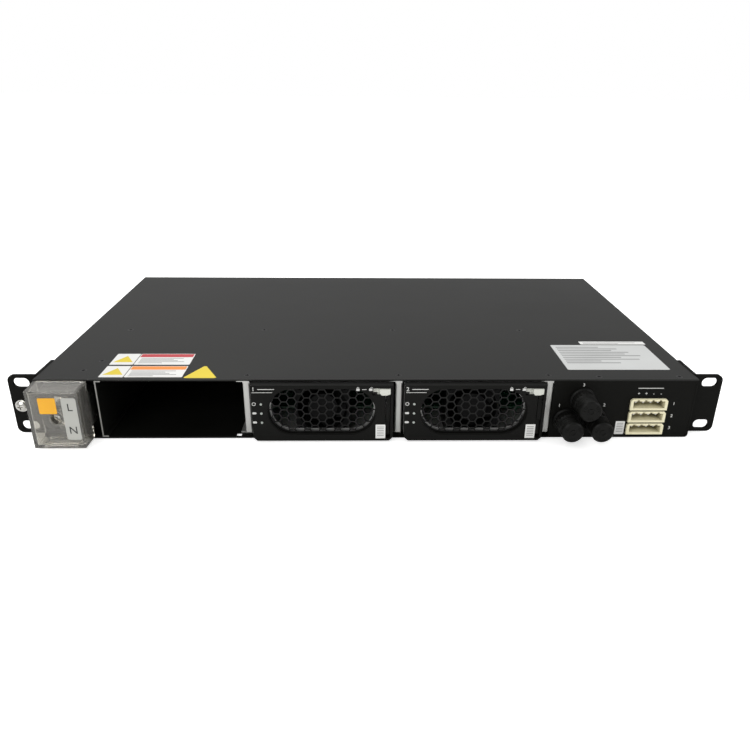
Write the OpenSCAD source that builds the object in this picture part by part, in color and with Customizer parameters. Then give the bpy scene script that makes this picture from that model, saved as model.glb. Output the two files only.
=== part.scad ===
// One-rack-unit power shelf: a sheet steel chassis with three rectifier bays, an AC input
// terminal under a clear cover at the left and fused DC output sockets at the right.
// Millimetres. +X right, +Y back, +Z up, origin in the middle of the underside.

/* [Chassis] */
// Width over the side walls
chassis_w = 442; // [436:1:446]
// Height from underside to top cover
chassis_h = 43.6; // [43:0.1:48]
// Depth from front plane to rear face
chassis_d = 255; // [250:1:320]
// Thickness of the tray's sheet steel
sheet_t = 1.2; // [1:0.1:1.5]
// Thickness of the top cover
cover_t = 1; // [0.8:0.1:1.4]
// Depth of the cover's folded edges
cover_lip = 8; // [6:0.5:11]
// Distance from the front plane to the first row of cover screws
screw_row_front = 7.6; // [7:0.1:9]
// Distance from the front plane to the second row of cover screws
screw_row_mid = 98; // [60:1:150]

/* [Rack ears] */
// How far an ear stands out from the side wall
ear_w = 20.3; // [19:0.1:21]
// Height of an ear
ear_h = 43; // [41:0.1:44]
// How far the ears' middle lies above the chassis' middle
ear_rise = 0.6; // [0:0.1:1]
// Thickness of the ear plate
ear_t = 2; // [1.6:0.1:2.4]
// Distance from the front plane back to the ear's face
ear_setback = 7; // [5:0.5:12]
// Length of the ear's leg along the side wall
ear_leg = 27; // [26:1:60]
// Radius of the ear's outer corners
ear_corner_r = 4.5; // [2:0.5:6]
// Distance from a rack slot's middle to the ear's outer edge
slot_inset = 8.75; // [8:0.05:9]
// Distance between the upper and lower rack slots
slot_span_z = 31.75; // [31.5:0.05:32]
// End-to-end length of a rack slot
slot_len = 10.9; // [9:0.1:12]
// Width of a rack slot
slot_w = 6.9; // [6:0.1:7.5]

/* [Bays] */
// Width of the AC compartment, side face to first bay line
input_w = 37.2; // [37:0.1:40]
// Width of the DC output compartment, last divider to side face
output_w = 100; // [98:0.5:106]
// Width of a divider's bright front bar
divider_w = 4.5; // [4:0.1:6]
// Thickness of divider and bay wall sheet
divider_t = 0.8; // [0.6:0.1:1]
// Reach of a divider's top and bottom flanges past its bar
divider_flange = 4; // [3:0.5:6]
// How far the front bars stand back from the front plane
divider_recess = 0.5; // [0.3:0.1:2]
// Room between the backplane's face and the rear face
rear_room = 24; // [20:0.5:40]
// Thickness of the circuit boards
board_t = 1.6; // [1:0.1:2]

/* [Rectifier modules] */
// Gap between a module and the dividers at its sides
module_gap = 1.6; // [1.2:0.1:2.5]
// Gap between a module and the flanges above and below it
module_lift = 0.5; // [0.4:0.1:0.8]
// Distance from the casing's rear wall to the backplane
plug_reach = 17; // [15:0.5:24]
// Thickness of the casing's sheet
casing_t = 0.8; // [0.6:0.1:1]
// How far the bezel stands in front of the shelf
bezel_out = 6; // [5.5:0.1:8]
// Height of the bezel's lower edge above the underside
bezel_foot = 1; // [0.5:0.1:2]
// How far the bezel's upper edge stays below the cover's face
bezel_drop = 1.6; // [1.2:0.1:2.5]
// Wall thickness of the bezel
bezel_wall = 1.8; // [1.4:0.1:2.2]
// Cut at the bezel's lower corners
bezel_chamfer = 2.5; // [1:0.1:3]
// Width of the bezel beside the grille opening
grille_side = 11.3; // [11:0.1:14]
// Height of the bezel above and below the grille opening
grille_edge = 4; // [3.8:0.1:6]
// Sideways offset of the grille from the module's middle
grille_shift = -0.55; // [-1:0.05:0]
// How far the mesh lies behind the bezel's face
grille_recess = 3.5; // [3:0.1:4]
// Thickness of the mesh
grille_t = 1; // [0.8:0.1:1.2]
// Distance between neighbouring mesh cells
hex_pitch = 5.9; // [5:0.1:7]
// Width of the webs between mesh cells
hex_web = 0.6; // [0.5:0.1:1]
// Length of the fan along the airflow
fan_len = 28; // [20:1:38]
// Diameter of the fan's hub
hub_d = 20; // [16:0.5:22]
// Number of fan blades
blades = 7; // [5:1:9]

/* [Latch and lever] */
// Width of the latch knob
knob_w = 7.1; // [6:0.1:7.2]
// Height of the latch knob
knob_h = 4.4; // [4:0.1:5.2]
// Travel of the latch from locked to unlocked
latch_travel = 4; // [2:0.1:4]
// Width of the ejector lever
lever_w = 2.8; // [2.4:0.1:3.2]
// Height of the lever's pivot above the bezel's foot
lever_pivot = 5.2; // [4.5:0.1:6]
// Radius of the lever's pivot stub
pivot_r = 1.2; // [1:0.1:1.4]

/* [AC input] */
// Width of the clear cover where it meets the shelf
clear_w = 34; // [32:0.1:34.4]
// Height of the shelf's face left bare above and below the clear cover
clear_edge = 1; // [0.8:0.1:2]
// How far the clear cover stands in front of the shelf
clear_out = 16.6; // [14:0.1:20]
// Wall thickness of the clear cover
clear_wall = 1.8; // [1.2:0.1:2.2]
// Draft of the clear cover's walls over its depth
clear_draft = 0.4; // [0.3:0.1:1]
// Depth of the recess that the terminal block sits in
input_recess = 10; // [8:0.5:11]
// Diameter of the cup round the cover's screw
cup_d = 7.5; // [7:0.1:8]

/* [DC output] */
// Diameter of a fuse holder's flange
fuse_flange_d = 17.2; // [15:0.1:17.3]
// Diameter of a fuse cap's ribbed collar
fuse_collar_d = 15.8; // [15:0.1:16.4]
// Diameter of a fuse cap's smooth nose
fuse_nose_d = 14.6; // [13:0.1:14.8]
// How far a fuse cap stands in front of the panel
fuse_out = 20.5; // [18:0.1:24]
// Diameter of the fuse
fuse_d = 6.3; // [5:0.1:6.4]
// Length of the fuse
fuse_len = 32; // [30:0.5:36]
// Sideways distance between the two lower fuse holders
fuse_span = 19.9; // [18:0.1:22]
// Height of the upper fuse holder over the lower two
fuse_rise = 15.3; // [14.7:0.1:15.6]
// Width of a DC socket
socket_w = 25.3; // [24:0.1:28]
// Height of a DC socket
socket_h = 8.3; // [7.5:0.1:8.8]
// Distance from one DC socket to the next
socket_pitch = 9.2; // [9:0.1:9.6]
// Distance between neighbouring pins
pin_pitch = 5.08; // [4.8:0.01:5.2]
// Width of a square pin
pin_w = 1.1; // [0.8:0.1:1.4]

/* [Screws] */
// Thread diameter of the case screws
screw_d = 2.5; // [2:0.1:2.6]
// Head diameter of the case screws
screw_head_d = 4.5; // [4:0.1:4.6]
// Length of the case screws
screw_len = 5; // [4.6:0.1:6]
// Thread diameter of the ground screw
ground_d = 4; // [3:0.5:4]
// Head diameter of the ground screw
ground_head_d = 6.8; // [6:0.1:7]

/* [Hidden] */
$fn = 48;

// Running gap between pieces that move, and play of a piece in its seat
run = 0.35;
play = 0.15;
front = -chassis_d / 2;
side = chassis_w / 2;
roof = chassis_h - cover_t;
inner_h = roof - sheet_t;
rack_w = chassis_w + 2 * ear_w;
slot_span_x = rack_w - 2 * slot_inset;
bay_pitch = (chassis_w - input_w - output_w) / 3;
bay_depth = chassis_d - rear_room;
black = [0.10, 0.10, 0.10];
dark = [0.16, 0.16, 0.17];
zinc = [0.72, 0.73, 0.74];
cream = [0.92, 0.90, 0.78];
board_green = [0.10, 0.30, 0.18];
copper = [0.75, 0.45, 0.28];

// Middle of bay line i (0 is the left bay wall, 1 to 3 the dividers), and of bay b (1 to 3)
function line_x(i) = -side + input_w + i * bay_pitch;
function bay_x(b) = line_x(b - 1) + bay_pitch / 2;
// Middle of module m, which sits in bay m + 1
function module_x(m) = bay_x(m + 1);

// ---------- Outlines and small parts used by several pieces ----------

// Slot outline with round ends, long way along X
module obround(w, h) {
    square([w - h, h], center = true);
    for (s = [-1, 1]) translate([s * (w - h) / 2, 0]) circle(d = h);
}

// Rectangle from its lower left corner, corners rounded to r
module round_rect(w, h, r) {
    translate([r, 0]) square([w - 2 * r, h]);
    translate([0, r]) square([w, h - 2 * r]);
    for (x = [r, w - r], y = [r, h - r]) translate([x, y]) circle(r = r);
}

// Stands an outline drawn in X and Z up and gives it a depth d towards +Y
module upright(d) {
    translate([0, d, 0]) rotate([90, 0, 0]) linear_extrude(d) children();
}

// Rod along +Y
module rod_y(d, len) {
    rotate([-90, 0, 0]) cylinder(d = d, h = len);
}

// Cross recess cut down from z = 0
module cross_recess(w, deep) {
    for (a = [0, 90]) rotate(a) translate([-w / 2, -w / 8, -deep]) cube([w, w / 4, deep + 1]);
}

// Countersunk screw, head face at z = 0, pointing down
screw_head_h = (screw_head_d - screw_d) / 2;
module case_screw() {
    difference() {
        union() {
            translate([0, 0, -screw_head_h])
                cylinder(h = screw_head_h, d1 = screw_d, d2 = screw_head_d);
            translate([0, 0, -screw_len]) cylinder(d = screw_d, h = screw_len);
        }
        cross_recess(screw_head_d * 0.55, 0.7);
    }
}
// The hole that a case screw fills
module screw_cut() {
    translate([0, 0, -screw_head_h])
        cylinder(h = screw_head_h + 0.01, d1 = screw_d + 0.04, d2 = screw_head_d + 0.06);
    translate([0, 0, -screw_len - 1]) cylinder(d = screw_d + 0.04, h = screw_len + 1.5);
}

// Pan head screw, seat at z = 0, pointing down
module pan_screw(d, head_d, head_h, len) {
    difference() {
        union() {
            intersection() {
                cylinder(d = head_d, h = head_h);
                translate([0, 0, head_h - head_d * 0.8]) sphere(r = head_d * 0.8);
            }
            translate([0, 0, -len]) cylinder(d = d, h = len + 0.1);
        }
        translate([0, 0, head_h]) cross_recess(head_d * 0.55, head_h * 0.6);
    }
}

// ---------- Places of the case screws ----------

tab_reach = 8;
panel_flange = 12;
input_screw_x = line_x(0) - 10;
output_screws = [line_x(3) + 33.8, side - 11.3];
output_screw_y = 5;
tab_rows = [33, screw_row_mid];
tab_screw_x = line_x(0) - tab_reach / 2 + 0.6;
top_spots = concat(
    [for (i = [1 : 3], y = [screw_row_front, screw_row_mid]) [line_x(i), y]],
    [for (y = tab_rows) [tab_screw_x, y]],
    [[input_screw_x, input_recess + panel_flange / 2]],
    [for (x = output_screws) [x, output_screw_y]]);
floor_spots = concat(
    [for (i = [1 : 3], y = [screw_row_front, screw_row_mid]) [line_x(i), y]],
    [for (y = tab_rows) [tab_screw_x, y]]);
side_rows = [chassis_d * 0.3, chassis_d * 0.6, chassis_d - 15];
rear_cols = [for (b = [1 : 3]) line_x(b) - bay_pitch + 2];
ear_z = chassis_h / 2 + ear_rise;
ear_spots = [for (s = [-1, 1]) [ear_setback + ear_leg - 19, ear_z + s * 11],
    for (s = [-1, 1]) [ear_setback + ear_leg - 7, ear_z + s * 11]];

// Puts children on every case screw spot, outer face at z = 0 and pointing down -Z
module on_top() {
    for (p = top_spots) translate([p[0], front + p[1], chassis_h]) children();
}
module on_floor() {
    for (p = floor_spots) translate([p[0], front + p[1], 0]) rotate([180, 0, 0]) children();
}
module on_sides() {
    for (s = [-1, 1], y = side_rows)
        translate([s * side, front + y, roof - cover_lip / 2]) rotate([0, s * 90, 0]) children();
}
module on_rear() {
    for (x = rear_cols) translate([x, -front, roof - cover_lip / 2]) rotate([-90, 0, 0]) children();
}
module on_ears(sides) {
    for (s = sides, p = ear_spots)
        translate([s * (side + ear_t), front + p[0], p[1]]) rotate([0, s * 90, 0]) children();
}

// ---------- Chassis ----------

// Exhaust slots behind every bay, and the slot in the floor that each lever's nose faces
vent_w = 3;
vent_pitch = 6;
vents = 13;
vent_h = inner_h - cover_lip - 8;
nose_w = lever_w + 0.9;
lever_x = bay_pitch / 2 - divider_w / 2 - module_gap - bezel_wall - run - lever_w;
tray_bend = 2.2;
module base_tray() {
    bend = tray_bend;
    color(black) difference() {
        union() {
            difference() {
                translate([0, front, 0]) upright(chassis_d)
                    translate([-side, 0]) round_rect(chassis_w, chassis_h * 1.5, bend);
                translate([0, front - 1, 0]) upright(chassis_d - sheet_t + 1)
                    translate([-side + sheet_t, sheet_t])
                        round_rect(chassis_w - 2 * sheet_t, chassis_h * 2, bend - sheet_t);
                translate([-side - 1, front - 1, roof]) cube([chassis_w + 2, chassis_d + 2, chassis_h]);
            }
        }
        for (b = [1 : 3], k = [0 : vents - 1])
            translate([bay_x(b) + (k - (vents - 1) / 2) * vent_pitch, -front - sheet_t - 1,
                sheet_t + 4 + vent_h / 2])
                upright(sheet_t + 2) rotate(90) obround(vent_h, vent_w);
        for (b = [1 : 3])
            translate([bay_x(b) + lever_x - 0.4, front + 1, -1]) cube([nose_w, 5, sheet_t + 2]);
        on_floor() screw_cut();
        on_sides() screw_cut();
        on_rear() screw_cut();
        on_ears([-1, 1]) screw_cut();
    }
}

// Top cover: flat sheet with its side and rear edges folded down inside the tray
module top_cover() {
    in = sheet_t + play;
    color(black) difference() {
        union() {
            translate([-side, front, roof]) cube([chassis_w, chassis_d, cover_t]);
            for (s = [-1, 1])
                translate([s * (side - in - cover_t / 2) - cover_t / 2, front + ear_setback + ear_leg + 4,
                    roof - cover_lip])
                    cube([cover_t, chassis_d - ear_setback - ear_leg - 8, cover_lip + 0.1]);
            translate([-side + 6, -front - in - cover_t, roof - cover_lip])
                cube([chassis_w - 12, cover_t, cover_lip + 0.1]);
        }
        on_top() screw_cut();
        on_sides() screw_cut();
        on_rear() screw_cut();
    }
}

module case_screws() {
    color(dark) {
        on_top() case_screw();
        on_floor() case_screw();
        on_sides() case_screw();
        on_rear() case_screw();
        on_ears([-1, 1]) case_screw();
    }
}

// Rack ear: an angle whose leg is screwed to the outside of the side wall; s = 1 right, -1 left
ear_out = rack_w / 2 - side;
module ear(s) {
    bend = ear_t + 0.6;
    color(black) translate([s * side, front + ear_setback, 0]) mirror([s < 0 ? 1 : 0, 0, 0])
        difference() {
            intersection() {
                translate([0, 0, ear_z - ear_h / 2]) linear_extrude(ear_h) difference() {
                    union() {
                        translate([bend, 0]) square([ear_out - bend, ear_t]);
                        translate([0, bend]) square([ear_t, ear_leg - bend]);
                        translate([bend, bend]) circle(r = bend);
                    }
                    translate([bend + 0.01, bend + 0.01]) circle(r = bend - ear_t);
                    translate([bend, ear_t]) square(bend);
                    translate([ear_t, bend]) square(bend);
                }
                union() {
                    translate([-1, -1, ear_z - ear_h / 2]) upright(ear_t + 1.6)
                        round_rect(ear_out + 1, ear_h, ear_corner_r);
                    translate([-1, 0.5, ear_z - ear_h / 2]) cube([ear_t + 1.5, ear_leg, ear_h]);
                }
            }
            for (k = [-1, 1])
                translate([slot_span_x / 2 - side, -1, ear_z + k * slot_span_z / 2])
                    upright(ear_t + 2) obround(slot_len, slot_w);
            translate([-side, -ear_setback - front, 0]) on_ears([1]) screw_cut();
            if (s < 0) translate([ground_x, 0, ground_z]) rotate([90, 0, 0])
                translate([0, 0, -ear_t - 1]) cylinder(d = ground_d + 0.04, h = ear_t + 2);
        }
}

// Ground screw between the left ear's slots: pan head with a captive washer
ground_x = ear_out - 6.4;
ground_z = ear_z - 0.8;
module ground_screw() {
    washer_t = 0.9;
    color(zinc) translate([-side - ground_x, front + ear_setback - washer_t, ground_z])
        rotate([90, 0, 0]) {
            pan_screw(ground_d, ground_head_d, 2.6, washer_t + ear_t + 2.5);
            difference() {
                translate([0, 0, -washer_t]) cylinder(d = ground_head_d + 1.8, h = washer_t);
                translate([0, 0, -washer_t - 1]) cylinder(d = ground_d - 0.2, h = washer_t + 2);
            }
        }
}

// Left wall of the first bay: guide flanges to the right, screw tabs to the left
wall_x = line_x(0) + divider_w / 2 + divider_t;
flange_short = 15;
bar_foot = 2.9;
bar_top = 1.8;
foot_w = 11;
foot_h = 16;
module bay_wall() {
    color(black) translate([wall_x, front, sheet_t]) difference() {
        union() {
            translate([-divider_t, 0, 0]) cube([divider_t, bay_depth, inner_h]);
            for (z = [0, inner_h - divider_t]) {
                translate([-divider_t, 0, z]) cube([divider_flange, bay_depth - flange_short, divider_t]);
                for (y = tab_rows)
                    translate([-tab_reach - divider_t, y - 6, z]) cube([tab_reach + 0.1, 12, divider_t]);
            }
            translate([-tab_reach, bay_depth - divider_t, 2]) cube([tab_reach, divider_t, foot_h]);
        }
        translate([-wall_x, -front, -sheet_t]) {
            on_top() screw_cut();
            on_floor() screw_cut();
            on_backplane() board_screw_cut();
        }
    }
}

// Divider between two bays: zinc plated sheet with a bright folded front bar
module partition(i) {
    half = divider_w / 2;
    len = bay_depth - divider_recess;
    flange_end = len - flange_short;
    color(zinc) difference() {
        translate([line_x(i), front + divider_recess, sheet_t]) {
            translate([0, 0, bar_foot]) linear_extrude(inner_h - bar_foot - bar_top) difference() {
                union() {
                    translate([-half, 0]) round_rect(divider_w, 4, 1);
                    translate([-half, 2]) square([divider_t, 3]);
                    translate([half - divider_t, 2]) square([divider_t, len - 2]);
                }
                translate([-half + divider_t, divider_t])
                    round_rect(divider_w - 2 * divider_t, 6, 0.3);
            }
            translate([-half, 0, inner_h - bar_top - 0.1]) cube([divider_w, divider_t, bar_top + 0.1]);
            for (z = [0, inner_h - divider_t], from = z > 0 ? 0 : nose_reach + run)
                translate([-half - divider_flange, from, z])
                    cube([divider_w + divider_flange, flange_end - from, divider_t]);
            translate([half - divider_t, 4, 0]) cube([divider_t, flange_end - 4, inner_h]);
            translate([half - divider_t, len - divider_t, 2]) cube([foot_w, divider_t, foot_h]);
        }
        on_top() screw_cut();
        on_floor() screw_cut();
        on_backplane() board_screw_cut();
    }
}

// ---------- AC input ----------

input_mid = -side + 18.1;
block_z = chassis_h / 2 + 0.8;
clear_h = chassis_h - 2 * clear_edge;
block_w = 33.4;
block_h = 33;
core_w = 24;
core_h = 31;
cup_deep = 5.2;
core_out = clear_out - cup_deep - clear_wall - play;
pocket_h = 10.5;
wire_d = 3.2;
wire_spots = [for (s = [-1, 1]) [input_mid + 4, block_z + s * 8.5]];

// Clears the tray's rounded lower corner at the right (s = 1) or left (s = -1)
module corner_relief(s) {
    r = tray_bend - sheet_t;
    translate([s * (side - sheet_t - r / 2) - r / 2, front - 1, sheet_t - 1])
        cube([r, input_recess + panel_flange + 2, r + 1]);
}

// Plate behind the terminal block, flanged back under the cover and over the floor
module input_panel() {
    x0 = -side + sheet_t + play;
    w = wall_x - divider_t - play - x0;
    color(black) difference() {
        translate([x0, front + input_recess, sheet_t]) {
            cube([w, sheet_t, inner_h]);
            for (z = [0, inner_h - sheet_t]) translate([0, 0, z]) cube([w, panel_flange, sheet_t]);
        }
        on_top() screw_cut();
        corner_relief(-1);
        for (p = wire_spots) translate([p[0], front, p[1]]) rod_y(wire_d + 1.2, input_recess + 4);
        translate([line_x(0) - tab_reach - 3, front + input_recess + 1.3, 0])
            cube([tab_reach + 6, panel_flange, sheet_t + divider_t + 1.4]);
    }
}

// Two-pole terminal block: a base with cut corners in the recess and a core with two pockets
module terminal_block() {
    mid = input_mid;
    color(dark) difference() {
        union() {
            translate([mid, front, block_z]) upright(input_recess) polygon([
                [-block_w / 2, -block_h / 2 + 5], [-block_w / 2 + 5, -block_h / 2],
                [block_w / 2 - 5, -block_h / 2], [block_w / 2, -block_h / 2 + 5],
                [block_w / 2, block_h / 2 - 5], [block_w / 2 - 5, block_h / 2],
                [-block_w / 2 + 5, block_h / 2], [-block_w / 2, block_h / 2 - 5]]);
            translate([mid - core_w / 2, front - core_out, block_z - core_h / 2])
                cube([core_w, core_out + 0.1, core_h]);
        }
        for (s = [-1, 1]) {
            translate([mid - core_w / 2 - 1, front - core_out - 1, block_z + s * 8.5 - pocket_h / 2])
                cube([core_w - 2, core_out - 1.5, pocket_h]);
            translate([mid, front - 4, block_z + s * 8.5]) rod_y(3.3, 9);
            for (x = [-1, 1]) translate([mid + x * (block_w / 2 - 2), front + 5, block_z + s * 7.5])
                rotate([0, x * 90, 0]) cylinder(d = 3, h = 4);
        }
        for (p = wire_spots) translate([p[0], front + 5, p[1]]) rod_y(wire_d + 0.2, input_recess);
        translate([mid, front - core_out - 1, block_z]) rod_y(2.64, 12);
    }
}

// Square clamp plates and their screws, one in each pocket
module terminal_clamps() {
    color(zinc) for (s = [-1, 1]) translate([input_mid, front - 2.5, block_z + s * 8.5]) {
        difference() {
            translate([-4.4, -1, -4.4]) cube([8.8, 1, 8.8]);
            translate([0, -2, 0]) rod_y(3, 4);
        }
        translate([0, -1, 0]) rotate([90, 0, 0]) pan_screw(3.2, 6.4, 2.4, 7);
    }
}

// Clear cover over the terminals: drafted shell with a screw cup and a cable opening below
clear_mid = input_mid - 0.9;
clear_lean = 0.6;
cable_w = 22;
cable_deep = 9;
module clear_form(inset, y0, y1) {
    dz = chassis_h / 2 + 0.2;
    hull() {
        translate([clear_mid, front - y0 - 0.02, dz]) upright(0.02)
            offset_rect(clear_w - 2 * inset, clear_h - 2 * inset);
        translate([clear_mid + clear_lean, front - y1, dz + 0.15]) upright(0.02)
            offset_rect(clear_w - 2 * inset - 2 * clear_draft, clear_h - 2 * inset - 2 * clear_draft);
    }
}
module offset_rect(w, h) {
    translate([-w / 2, -h / 2]) square([w, h]);
}
module terminal_cover() {
    color([0.75, 0.76, 0.74, 0.45]) difference() {
        union() {
            difference() {
                clear_form(0, 0, clear_out);
                clear_form(clear_wall, -1, clear_out - clear_wall);
            }
            translate([input_mid, front - clear_out + 1, block_z])
                rod_y(cup_d + 2, cup_deep + clear_wall - 1);
        }
        translate([input_mid, front - clear_out - 1, block_z]) rod_y(cup_d, cup_deep + 1);
        translate([input_mid, front - clear_out, block_z]) rod_y(3, clear_out);
        translate([clear_mid - cable_w / 2, front - cable_deep - 2.5, -1])
            cube([cable_w, cable_deep, 8]);
    }
}
module terminal_cover_screw() {
    color(zinc) translate([input_mid, front - clear_out + cup_deep, block_z])
        rotate([90, 0, 0]) pan_screw(2.6, 5.4, 2, 9);
}

// Two insulated wires from the terminal block straight back to the backplane
module input_wires() {
    color([0.25, 0.25, 0.28]) for (p = wire_spots)
        translate([p[0], front + 5.2, p[1]]) rod_y(wire_d, bay_depth - 5.2);
}

// ---------- DC output ----------

output_x = line_x(3) + divider_w / 2 + play;
fuse_mid = line_x(3) + 22.6;
fuse_low = 13.8;
fuse_spots = [[fuse_mid, fuse_low + fuse_rise], [fuse_mid - fuse_span / 2, fuse_low],
    [fuse_mid + fuse_span / 2, fuse_low]];
barrel_d = 12.4;
bore_d = fuse_d + 1.6;
neck_d = 12.6;
neck_out = 6;
flange_out = 2.7;
barrel_len = fuse_len + 1;
socket_mid = side - 31.6;
function socket_z(k) = 25.6 - (k - 1) * socket_pitch;
socket_flange = 1.8;
socket_len = 14;
body_w = socket_w - 1.8;
body_h = socket_h - 1.6;
output_board_y = 40;

module output_panel() {
    w = side - sheet_t - play - output_x;
    color(black) difference() {
        translate([output_x, front, sheet_t]) {
            cube([w, sheet_t, inner_h]);
            for (z = [0, inner_h - sheet_t]) translate([0, 0, z]) cube([w, panel_flange, sheet_t]);
        }
        for (p = fuse_spots) translate([p[0], front - 1, p[1]]) rod_y(barrel_d + 2 * play, sheet_t + 2);
        for (k = [1 : 3])
            translate([socket_mid, front - 1, socket_z(k)]) upright(sheet_t + 2)
                square([body_w + 2 * play, body_h + 2 * play], center = true);
        corner_relief(1);
        on_top() screw_cut();
    }
}

// Panel fuse holder: flange and neck in front, threaded barrel and two tabs behind
module fuse_holder(k) {
    p = fuse_spots[k - 1];
    color(black) translate([p[0], front, p[1]]) difference() {
        rotate([90, 0, 0]) rotate_extrude() polygon([
            [0, -barrel_len - 2], [barrel_d / 2 - 1, -barrel_len - 2], [barrel_d / 2, -barrel_len - 1],
            [barrel_d / 2, 0], [fuse_flange_d / 2, 0], [fuse_flange_d / 2, flange_out - 0.9],
            [fuse_flange_d / 2 - 0.9, flange_out], [neck_d / 2, flange_out], [neck_d / 2, neck_out],
            [0, neck_out]]);
        translate([0, -neck_out - 1, 0]) rod_y(bore_d + 2.4, neck_out);
        translate([0, -neck_out - 1, 0]) rod_y(bore_d, neck_out + 1 + barrel_len - 4.5);
    }
    color(zinc) for (s = [-1, 1])
        translate([p[0] - 2.4, front + barrel_len + 1.5, p[1] + s * 3 - 0.4])
            cube([4.8, output_board_y - barrel_len - 1.7, 0.8]);
}

// Round nuts that clamp the holders behind the panel
module fuse_nuts() {
    color(dark) for (p = fuse_spots) translate([p[0], front + sheet_t, p[1]]) difference() {
        union() {
            rod_y(fuse_flange_d - 1.6, 3);
            for (a = [0 : 30 : 330]) rotate([0, a, 0])
                translate([fuse_flange_d / 2 - 1.2, 0, 0]) rod_y(1.4, 3);
        }
        translate([0, -1, 0]) rod_y(barrel_d + 0.04, 5);
    }
}

// Fuse and the sprung clip on its front end; it rides in the cap
clip_out = 11;
module fuse_link(k) {
    p = fuse_spots[k - 1];
    y0 = barrel_len - 5 - fuse_len;
    translate([p[0], front, p[1]]) {
        color(zinc) {
            translate([0, y0, 0]) rod_y(fuse_d, 6);
            translate([0, y0 + fuse_len - 6, 0]) rod_y(fuse_d, 6);
            difference() {
                translate([0, -clip_out, 0]) rod_y(fuse_d + 1, clip_out + y0 + 5);
                translate([-0.6, y0 + 1, -6]) cube([1.2, 5, 12]);
            }
        }
        color([0.85, 0.85, 0.82]) translate([0, y0 + 5, 0]) rod_y(fuse_d - 0.5, fuse_len - 10);
    }
}

// Bayonet cap: ribbed collar, nose with three turned grooves, and a face with a raised ring
// and three groups of short radial slots
flutes = 20;
collar_y = 3.1;
collar_len = 5.4;
grooves = 3;
groove_pitch = 2.4;
groove_deep = 0.35;
face_ring_d = 4.4;
module fuse_cap(k) {
    p = fuse_spots[k - 1];
    ring_h = 0.4;
    nose = fuse_out - ring_h;
    nose_r = fuse_nose_d / 2;
    groove_y = collar_y + collar_len + 0.8;
    color(black) translate([p[0], front, p[1]]) difference() {
        union() {
            rotate([90, 0, 0]) rotate_extrude() polygon(concat(
                [[0, collar_y], [fuse_collar_d / 2, collar_y],
                    [fuse_collar_d / 2, groove_y - 0.8], [nose_r, groove_y - 0.2]],
                [for (g = [0 : grooves - 1], q = [0 : 2])
                    [nose_r - (q == 1 ? groove_deep : 0),
                        groove_y + 0.4 + g * groove_pitch + q * groove_deep]],
                [[nose_r, nose - 0.9], [nose_r - 0.9, nose], [0, nose]]));
            translate([0, -nose - ring_h, 0]) difference() {
                rod_y(face_ring_d, ring_h + 0.1);
                translate([0, -1, 0]) rod_y(face_ring_d - 1.6, ring_h + 1.05);
            }
        }
        for (a = [90, 210, 330], j = [-1 : 1]) rotate([0, a + j * 17, 0])
            translate([nose_r * 0.56, -nose - 1, -0.3]) cube([nose_r * 0.26, 1.3, 0.6]);
        for (a = [4 : 360 / flutes : 363]) rotate([0, a, 0])
            translate([fuse_collar_d / 2 + 0.2, -groove_y - 1, 0]) rod_y(1.2, collar_len + 2);
        translate([0, -neck_out - run, 0]) rod_y(neck_d + 2 * run, neck_out);
        translate([0, -clip_out - run, 0]) rod_y(fuse_d + 1 + 2 * run, clip_out);
    }
}

// Four-pole DC socket: cream moulding with cut upper corners and a deep cavity
cavity_deep = 9;
module dc_socket(k) {
    cut = 1.4;
    w = socket_w / 2;
    h = socket_h / 2;
    color(cream) translate([socket_mid, front, socket_z(k)]) difference() {
        union() {
            translate([0, -socket_flange, 0]) upright(socket_flange)
                polygon([[-w, -h], [w, -h], [w, h - cut], [w - cut, h], [-w + cut, h], [-w, h - cut]]);
            translate([0, -0.1, 0]) upright(socket_len) square([body_w, body_h], center = true);
        }
        translate([0, -socket_flange - 1, 0]) upright(cavity_deep + 1)
            square([body_w - 2, body_h - 1.6], center = true);
        for (j = [-1.5 : 1.5]) {
            translate([j * pin_pitch, 0, 0]) upright(socket_len + 1)
                square(pin_w + 0.04, center = true);
            translate([j * pin_pitch - 0.8, -socket_flange - 1, h - 1.8])
                cube([1.6, cavity_deep - 2, 1.1]);
        }
    }
}
module socket_pins() {
    color(zinc) for (k = [1 : 3], j = [-1.5 : 1.5])
        translate([socket_mid + j * pin_pitch - pin_w / 2, front + 2.5, socket_z(k) - pin_w / 2])
            cube([pin_w, output_board_y + board_t - 1.5, pin_w]);
}

// Board behind the panel that joins holders, sockets and busbars
module output_board() {
    color(board_green) difference() {
        translate([output_x + 3, front + output_board_y, 4])
            cube([side - sheet_t - 3 - output_x - 3, board_t, inner_h - 7.4]);
        for (k = [1 : 3], j = [-1.5 : 1.5])
            translate([socket_mid + j * pin_pitch, front + output_board_y - 1, socket_z(k)])
                upright(board_t + 2) square(pin_w + 0.04, center = true);
    }
}

// ---------- Backplane ----------

rail_x0 = -side + 6;
rail_x1 = side - 10;
rail_z0 = 3.2;
rail_h = 17;
board_spots = concat([[wall_x - tab_reach / 2, rail_z0 + 9]],
    [for (i = [1 : 3]) [line_x(i) + divider_w / 2 + 5.5, rail_z0 + 9]]);
module on_backplane() {
    for (p = board_spots) translate([p[0], front + bay_depth + board_t, p[1]]) rotate([-90, 0, 0]) children();
}
module board_screw_cut() {
    translate([0, 0, -5]) cylinder(d = screw_d + 0.04, h = 7);
}
module backplane() {
    color(board_green) difference() {
        translate([rail_x0, front + bay_depth, rail_z0]) cube([rail_x1 - rail_x0, board_t, rail_h]);
        on_backplane() board_screw_cut();
    }
}
module backplane_screws() {
    color(zinc) on_backplane() pan_screw(screw_d, screw_head_d, 1.6, 4);
}

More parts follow.
